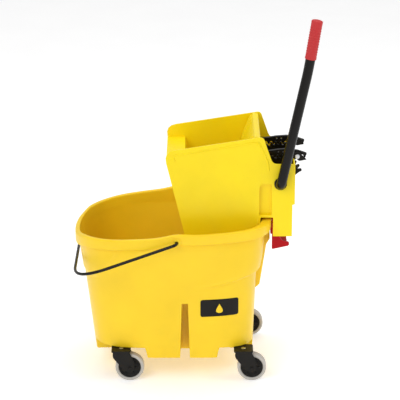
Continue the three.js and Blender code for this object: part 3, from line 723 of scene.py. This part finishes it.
# %% [markdown]
# ## Wheels and casters
# A wheel is a turned piece. The grey tread has rounded shoulders and a fine parting line round its
# middle, and the black core is dished, with six low ribs that run out from its boss. The ribs are a
# term in the turned formula: y grows where the angle is near a rib and the radius is in the dish.

# %% Wheel sections
WHEEL_R, WHEEL_W, CORE_R, TRAIL = 0.0375, 0.024, 0.029, 0.022
AXLE_Z = WHEEL_R * math.cos(math.pi / 36)
HALF = WHEEL_W / 2


def tread_profile():
    """(radius, y) round the tread: a crowned face with rounded shoulders and straight inner walls."""
    t = np.linspace(0, np.pi / 2, 9)
    shoulder = np.stack([AXLE_Z - 0.004 + 0.004 * np.sin(t), HALF - 0.004 + 0.004 * np.cos(t)], axis=1)
    line = np.array([[AXLE_Z, 0.0012], [AXLE_Z - 0.0004, 0.0006]])
    half = np.concatenate([[[CORE_R, HALF - 0.002], [CORE_R + 0.0015, HALF - 0.0006]], shoulder, line])
    return np.concatenate([half, half[::-1] * np.array([1, -1])])


def core_profile():
    """(radius, y) round the black core: bore, boss, dish, rim ring, and the same again behind."""
    half = np.array([
        [0.0043, 0.0130], [0.0090, 0.0130], [0.0100, 0.0126], [0.0106, 0.0116], [0.0112, 0.0090],
        [0.0124, 0.0078], [0.0150, 0.0076], [0.0185, 0.0078], [0.0215, 0.0082], [0.0236, 0.0092],
        [0.0248, 0.0104], [0.0262, 0.0108], [0.0278, 0.0106], [0.0286, 0.0098],
    ])
    return np.concatenate([half, half[::-1] * np.array([1, -1])])


def core_ribs(radius, angle, y):
    """Six ribs in the dish: up to 2.4 mm proud where cos(6a) is near 1, fading at boss and rim."""
    in_dish = smooth(radius, 0.0110, 0.0128) * (1 - smooth(radius, 0.0228, 0.0245))
    return np.sign(y) * 0.0024 * in_dish * smooth(np.cos(6 * angle), 0.80, 0.97)


# %% Four casters
for place, stem_x, side_y in (("front_left", STEM_X[0], -CASTER_Y), ("front_right", STEM_X[0], CASTER_Y),
                              ("rear_left", STEM_X[1], -CASTER_Y), ("rear_right", STEM_X[1], CASTER_Y)):
    centre = (stem_x + TRAIL, side_y, AXLE_Z)
    turned_piece(f"tread_{place}", tread_profile(), centre, "tread_grey", f"wheel_{place}",
                 [f"wheel_tyre_{place}"], sides=108, sharp=50)
    turned_piece(f"core_{place}", core_profile(), centre, "caster_black", f"wheel_{place}",
                 [f"wheel_hub_{place}"], sides=144, ribs=core_ribs, sharp=40)
    softened(f"caster_fork_{place}", "caster_black", width=0.0010)
    softened(f"caster_plate_{place}", "caster_black", width=0.0008)
    softened(f"wheel_axle_{place}", "black_paint", width=0.0007)
    softened(f"caster_stem_{place}", "bright_steel", width=0.0004)
print("casters done")

# %% [markdown]
# ## The wringer's housing and press
# The housing and the press plate are mouldings with wide flat panels, so their softened copies do
# most of the work. What the copies lack is added as thin pieces: a raised bead just below the top
# edge of each side panel and another round its foot, four ribs up the back of the press plate, and a
# pair of rounded ribs that curve up each end of its squeezing face.

# %% Housing, strainer and beads
SIDE_Y = 0.118
softened("wringer_housing", "wringer_plastic", width=0.0022, segments=4)
softened("strainer_floor", "wringer_plastic", width=0.0004, segments=2)


def bead(name, corners, y, radius=0.0020):
    """A low round bead on a side panel, through (x, z) corners that are rounded off."""
    corners = [(x, y, z) for x, z in corners]
    parts = [np.array([corners[0]])]
    for before, corner, after in zip(corners, corners[1:], corners[2:]):
        parts.append(bend(corner, before, after, 0.016, 10))
    parts.append(np.array([corners[-1]]))
    return bar(name, np.concatenate(parts), circle(radius, 12), "wringer_plastic", "wringer",
               up=(0, 1, 0))


for side, sign in (("left", -1), ("right", 1)):
    bead(f"top_bead_{side}", [(-0.058, 0.5960), (-0.062, 0.6015), (0.160, 0.6380), (0.166, 0.6240),
                              (0.186, 0.5790), (0.186, 0.5650)], sign * (SIDE_Y - 0.0004))
    bead(f"foot_bead_{side}", [(0.000, 0.3370), (0.152, 0.3370), (0.158, 0.4310)],
         sign * (SIDE_Y - 0.0004), radius=0.0012)


# %% The press plate
PLATE_RIB_HALF = 0.0022


def plate_rib(name, y):
    """An upright rib behind the press plate: its depth swells and fades as a sine up the plate."""
    z = np.linspace(0.372, 0.628, 48)
    face = np.interp(z, (0.348, 0.560, 0.604, 0.646), (0.130, 0.134, 0.1475, 0.165))
    depth = 0.0075 * np.sin(np.pi * (z - z[0]) / (z[-1] - z[0])) ** 0.6 + 0.0006
    across = np.array([-1.0, -1.0, -0.7, 0.0, 0.7, 1.0, 1.0]) * PLATE_RIB_HALF
    out = np.array([0.0, 0.80, 0.96, 1.0, 0.96, 0.80, 0.0])
    x = face[:, None] - 0.0015 + (depth[:, None] + 0.0015) * out
    points = np.stack([x, y + across + 0 * x, z[:, None] + 0 * x], axis=-1)
    rows = closed(points)
    return new_piece(name, rows, grid_faces(*rows.shape[:2]), "wringer_plastic", "press", sharp=45)


softened("press_plate", "wringer_plastic", width=0.0014)
for index, y in enumerate((-0.100, -0.034, 0.034, 0.100)):
    plate_rib(f"plate_rib_{index}", y)
for side, sign in (("left", -1), ("right", 1)):
    for index, inward in enumerate((0.006, 0.030)):
        y = sign * (0.1115 - inward)
        curve = bend((0.1155, y, 0.585), (0.1130, y, 0.420), (0.1500, y, 0.6490), 0.066, 24)
        foot = np.linspace((0.1130, y, 0.400), curve[0], 12)[:-1]
        bar(f"plate_edge_{side}_{index}", np.concatenate([foot, curve]), circle(0.0032, 14),
            "wringer_plastic", "press", up=(0, 1, 0))
print("housing and press done")

# %% [markdown]
# ## Gear train
# Two toothed sectors on the shaft push two racks. The CAD teeth already have their true flanks, so the
# copies only need their edges softened. The spring is drawn again as a round wire on a true helix,
# x = c + R cos a and z = c + R sin a while y climbs by one pitch a turn.

# %% Gears, racks, guides and fasteners
for side in ("left", "right"):
    softened(f"gear_sector_{side}", "gear_plastic", width=0.0006)
    softened(f"rack_{side}", "gear_plastic", width=0.0006)
    softened(f"guide_bracket_{side}", "black_plastic", width=0.0007)
    softened(f"guide_bolt_{side}", "bright_steel", width=0.0005)
    softened(f"shaft_bush_{side}", "black_plastic", width=0.0006)
softened("drive_shaft", "black_paint", width=0.0012)
softened("shaft_collar", "black_plastic", width=0.0010)
softened("handle_hub", "black_paint", width=0.0006)

# %% The return spring
SHAFT_X, SHAFT_Z = 0.216, 0.527
turn = np.linspace(0, 10 * np.pi, 5 * 48 + 1)
coil = np.stack([
    SHAFT_X + 0.015 * np.cos(turn),
    -0.014 + 0.0055 * turn / (2 * np.pi),
    SHAFT_Z + 0.015 * np.sin(turn),
], axis=1)
bar("spring_coil", coil, circle(0.0015, 10), "bright_steel", "wringer", ["return_spring"],
    up=(0, 1, 0))

# %% [markdown]
# ## Handle and grip
# The lever is one bent tube: out of the hub, round a short elbow, up the long straight run, and round
# a slight bend into the grip. The grip is a soft sleeve whose radius swells at both ends and has fine
# rings, radius = R + swell + ring(s), where s is the distance along it.

# %% The lever tube
HANDLE_Y, HANDLE_R, HUB_Y = -0.1365, 0.0125, -0.1218
GRIP_START = 0.23
grip_low, grip_top = np.array([0.280, HANDLE_Y, 0.829]), np.array([0.3003, HANDLE_Y, 0.9585])
elbow = np.array([SHAFT_X, HANDLE_Y, SHAFT_Z])
rise = (grip_low - elbow) / np.linalg.norm(grip_low - elbow)


def along_grip(share):
    """The point that share of the way from the tube's last bend to the top of the grip."""
    return grip_low + (grip_top - grip_low) * share


near_grip = elbow + (grip_low - elbow) * 0.93
leg = bend(elbow, [SHAFT_X, HUB_Y, SHAFT_Z], grip_low, 0.0147, 12)
straight = np.linspace(leg[-1] + rise * 0.004, near_grip - rise * 0.004, 40)
t = np.linspace(0, 1, 20)[:, None]
knee = (1 - t) ** 2 * near_grip + 2 * t * (1 - t) * grip_low + t**2 * along_grip(GRIP_START)
last = np.linspace(along_grip(GRIP_START + 0.02), along_grip(0.95), 8)
tube_path = np.concatenate([leg, straight, knee, last])
tube_rows = swept(tube_path, circle(HANDLE_R, 40), up=(0, 1, 0.02))
tube_rows = closed(tube_rows)
new_piece("lever_tube", tube_rows, grid_faces(*tube_rows.shape[:2]), "black_paint", "handle",
          ["handle_tube"], sharp=50)


# %% The grip
def grip_rows():
    """Rings along the grip's axis, closed over its top and returned down inside to its lower lip."""
    axis = (grip_top - grip_low) / np.linalg.norm(grip_top - grip_low)
    start = along_grip(GRIP_START)
    length = np.linalg.norm(grip_top - start)
    s = np.linspace(0, 1, 150)
    rings = 0.00045 * np.cos(2 * np.pi * 15 * s) * smooth(s, 0.12, 0.17) * (1 - smooth(s, 0.80, 0.85))
    swell = 0.0006 * (1 - smooth(s, 0.0, 0.10)) + 0.0003 * smooth(s, 0.88, 0.95)
    radius = 0.0141 + rings + swell
    dome = np.sqrt(np.clip(1 - ((s - 0.965) / 0.035).clip(0, 1) ** 2, 0, 1))
    lip = np.sqrt(np.clip(1 - ((0.012 - s) / 0.012).clip(0, 1) ** 2, 0.55, 1))
    radius = radius * np.where(s > 0.965, 0.25 + 0.75 * dome, lip)
    radius = np.concatenate([[0.0128], radius, [0.0]])
    s = np.concatenate([[0.0], s, [1.0]])
    side = np.array([0.0, 1.0, 0.0])
    other = np.cross(axis, side)
    ring = circle(1.0, 48)
    spread = ring[:, :1] * side + ring[:, 1:] * other
    middle = start + axis * (s * length)[:, None]
    inside = np.broadcast_to(middle[0], (len(ring), 3))[None]
    return np.concatenate([inside, middle[:, None] + spread[None] * radius[:, None, None]])


sleeve = grip_rows()
new_piece("grip_sleeve", sleeve, grid_faces(*sleeve.shape[:2]), "grip_red", "handle",
          ["handle_grip"], sharp=50)

# %% Latch
softened("release_latch", "latch_red", width=0.0012)
softened("latch_pin", "bright_steel", width=0.0006)
print("handle, grip and latch done")
